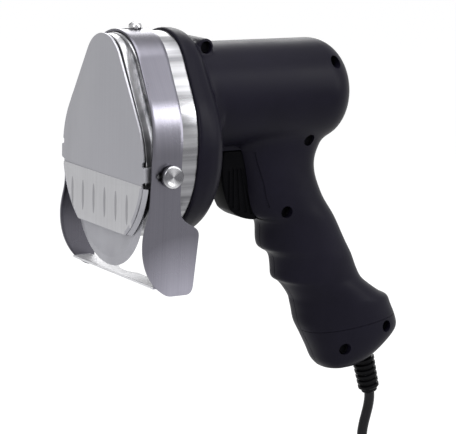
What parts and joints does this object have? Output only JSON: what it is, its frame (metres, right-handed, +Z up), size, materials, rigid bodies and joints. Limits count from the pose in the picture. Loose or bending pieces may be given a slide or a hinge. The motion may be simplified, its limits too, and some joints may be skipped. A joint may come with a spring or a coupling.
{
  "type": "electric kebab slicer",
  "caption": "Hand-held electric kebab slicer with a pistol grip, a round blade behind a steel cover plate, a sliding thickness guard and a mains cord.",
  "frame": {"origin": "middle of the hand grip", "axes": "+Z up with the motor barrel level, -X towards the blade, -Y the left side of the tool"},
  "size_m": [0.2157, 0.1114, 0.4734],
  "materials": {
    "black_plastic": "satin",
    "dark_plastic": "matte",
    "sheet_steel": "brushed",
    "blade_steel": "ground",
    "cast_aluminium": "turned",
    "machined_steel": "turned",
    "copper_winding": "varnished",
    "magnet_carbon": "matte",
    "pin_brass": "plated",
    "cord_jacket": "satin"
  },
  "bodies": {
    "housing": {"housing_left": "black_plastic", "housing_right": "black_plastic", "end_cap": "black_plastic", "housing_screw_1": "machined_steel", "housing_screw_2": "machined_steel", "housing_screw_3": "machined_steel", "housing_screw_4": "machined_steel", "cap_screw_1": "machined_steel", "cap_screw_2": "machined_steel", "gear_head": "cast_aluminium", "gear_plate": "cast_aluminium", "spindle_bearing_front": "machined_steel", "spindle_bearing_rear": "machined_steel", "idler_pin": "machined_steel", "cover_plate": "sheet_steel", "guard_top_screw": "machined_steel", "motor_can": "machined_steel", "motor_bearing_front": "machined_steel", "motor_bearing_rear": "machined_steel", "motor_end_bell": "dark_plastic", "magnet_upper": "magnet_carbon", "magnet_lower": "magnet_carbon", "brush_left": "magnet_carbon", "brush_right": "magnet_carbon", "switch": "dark_plastic", "strain_relief": "dark_plastic", "cord": "cord_jacket", "cord_coil": "cord_jacket", "coil_tie": "dark_plastic", "plug_body": "dark_plastic", "plug_pin_left": "pin_brass", "plug_pin_right": "pin_brass"},
    "rotor": {"motor_shaft": "machined_steel", "armature": "copper_winding", "commutator": "copper_winding", "cooling_fan": "dark_plastic", "motor_pinion": "machined_steel"},
    "idler": {"idler_gear": "machined_steel"},
    "blade_unit": {"blade": "blade_steel", "blade_nut": "machined_steel", "spindle": "machined_steel", "spindle_gear": "machined_steel"},
    "guard": {"thickness_guard": "sheet_steel"},
    "thumb_left": {"thumb_screw_left": "machined_steel"},
    "thumb_right": {"thumb_screw_right": "machined_steel"},
    "trigger": {"trigger": "dark_plastic"}
  },
  "joints": [
    {"name": "rotor_spin", "type": "hinge", "parent": "housing", "child": "rotor", "pos_m": [-0.06, 0, 0.091], "axis": [1, 0, 0], "continuous": true},
    {"name": "idler_spin", "type": "hinge", "parent": "housing", "child": "idler", "pos_m": [-0.1135, 0, 0.071], "axis": [1, 0, 0], "continuous": true},
    {"name": "blade_spin", "type": "hinge", "parent": "housing", "child": "blade_unit", "pos_m": [-0.13, 0, 0.0395], "axis": [1, 0, 0], "continuous": true},
    {"name": "guard_slide", "type": "slide", "parent": "housing", "child": "guard", "axis": [1, 0, 0], "range_m": [-0.0026, 0.0054]},
    {"name": "thumb_left_turn", "type": "hinge", "parent": "housing", "child": "thumb_left", "pos_m": [-0.122, -0.054, 0.056], "axis": [0, -1, 0], "range_deg": [0, 720]},
    {"name": "thumb_right_turn", "type": "hinge", "parent": "housing", "child": "thumb_right", "pos_m": [-0.122, 0.054, 0.056], "axis": [0, 1, 0], "range_deg": [0, 720]},
    {"name": "trigger_pull", "type": "slide", "parent": "housing", "child": "trigger", "axis": [1, 0, 0], "range_m": [0, 0.005], "stiffness_N_per_m": 1200, "springref_m": -0.002}
  ],
  "couplings": [
    {"joint": "idler_spin", "follows": "rotor_spin", "ratio": -0.42857},
    {"joint": "blade_spin", "follows": "rotor_spin", "ratio": 0.34286}
  ]
}
